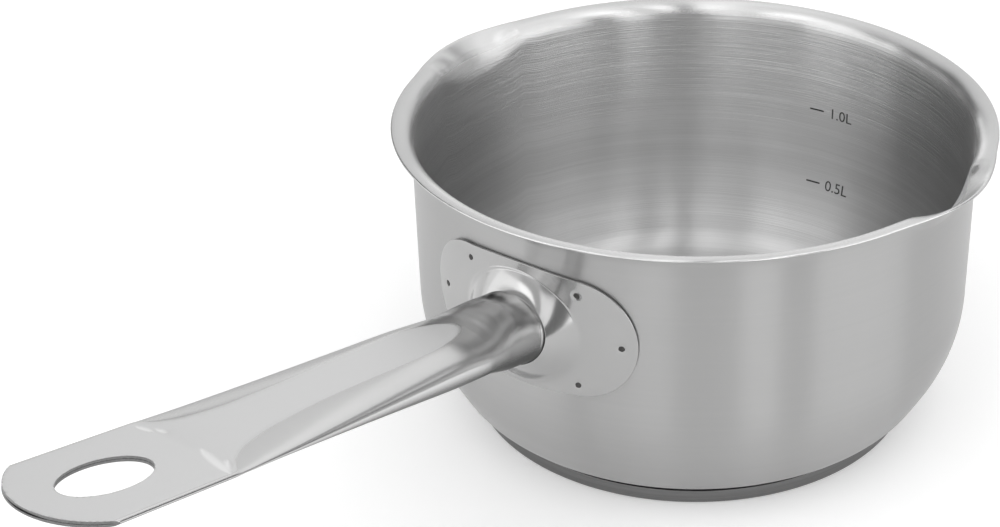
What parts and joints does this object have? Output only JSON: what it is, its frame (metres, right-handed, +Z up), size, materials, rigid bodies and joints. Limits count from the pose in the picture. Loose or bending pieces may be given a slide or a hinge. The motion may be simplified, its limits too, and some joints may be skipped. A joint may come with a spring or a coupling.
{
  "type": "saucepan",
  "caption": "Small stainless steel saucepan with a flared rim, two pouring spouts, a capsule base and a long tube handle pressed flat at its end.",
  "frame": {"origin": "centre of the underside of the base", "axes": "+Z up, the handle points along -X, the spouts are at +Y and -Y"},
  "size_m": [0.3224, 0.179, 0.0959],
  "materials": {
    "polished_steel": "polished",
    "satin_steel": "satin",
    "brushed_steel": "brushed",
    "aluminium": "as rolled",
    "weld_steel": "as welded"
  },
  "bodies": {
    "root": {"pan_body": "polished_steel", "base_cap": "brushed_steel", "base_core": "aluminium", "handle_plate": "polished_steel", "handle": "satin_steel", "spot_weld_1": "weld_steel", "spot_weld_2": "weld_steel", "spot_weld_3": "weld_steel", "spot_weld_4": "weld_steel", "spot_weld_5": "weld_steel", "spot_weld_6": "weld_steel"}
  },
  "joints": []
}
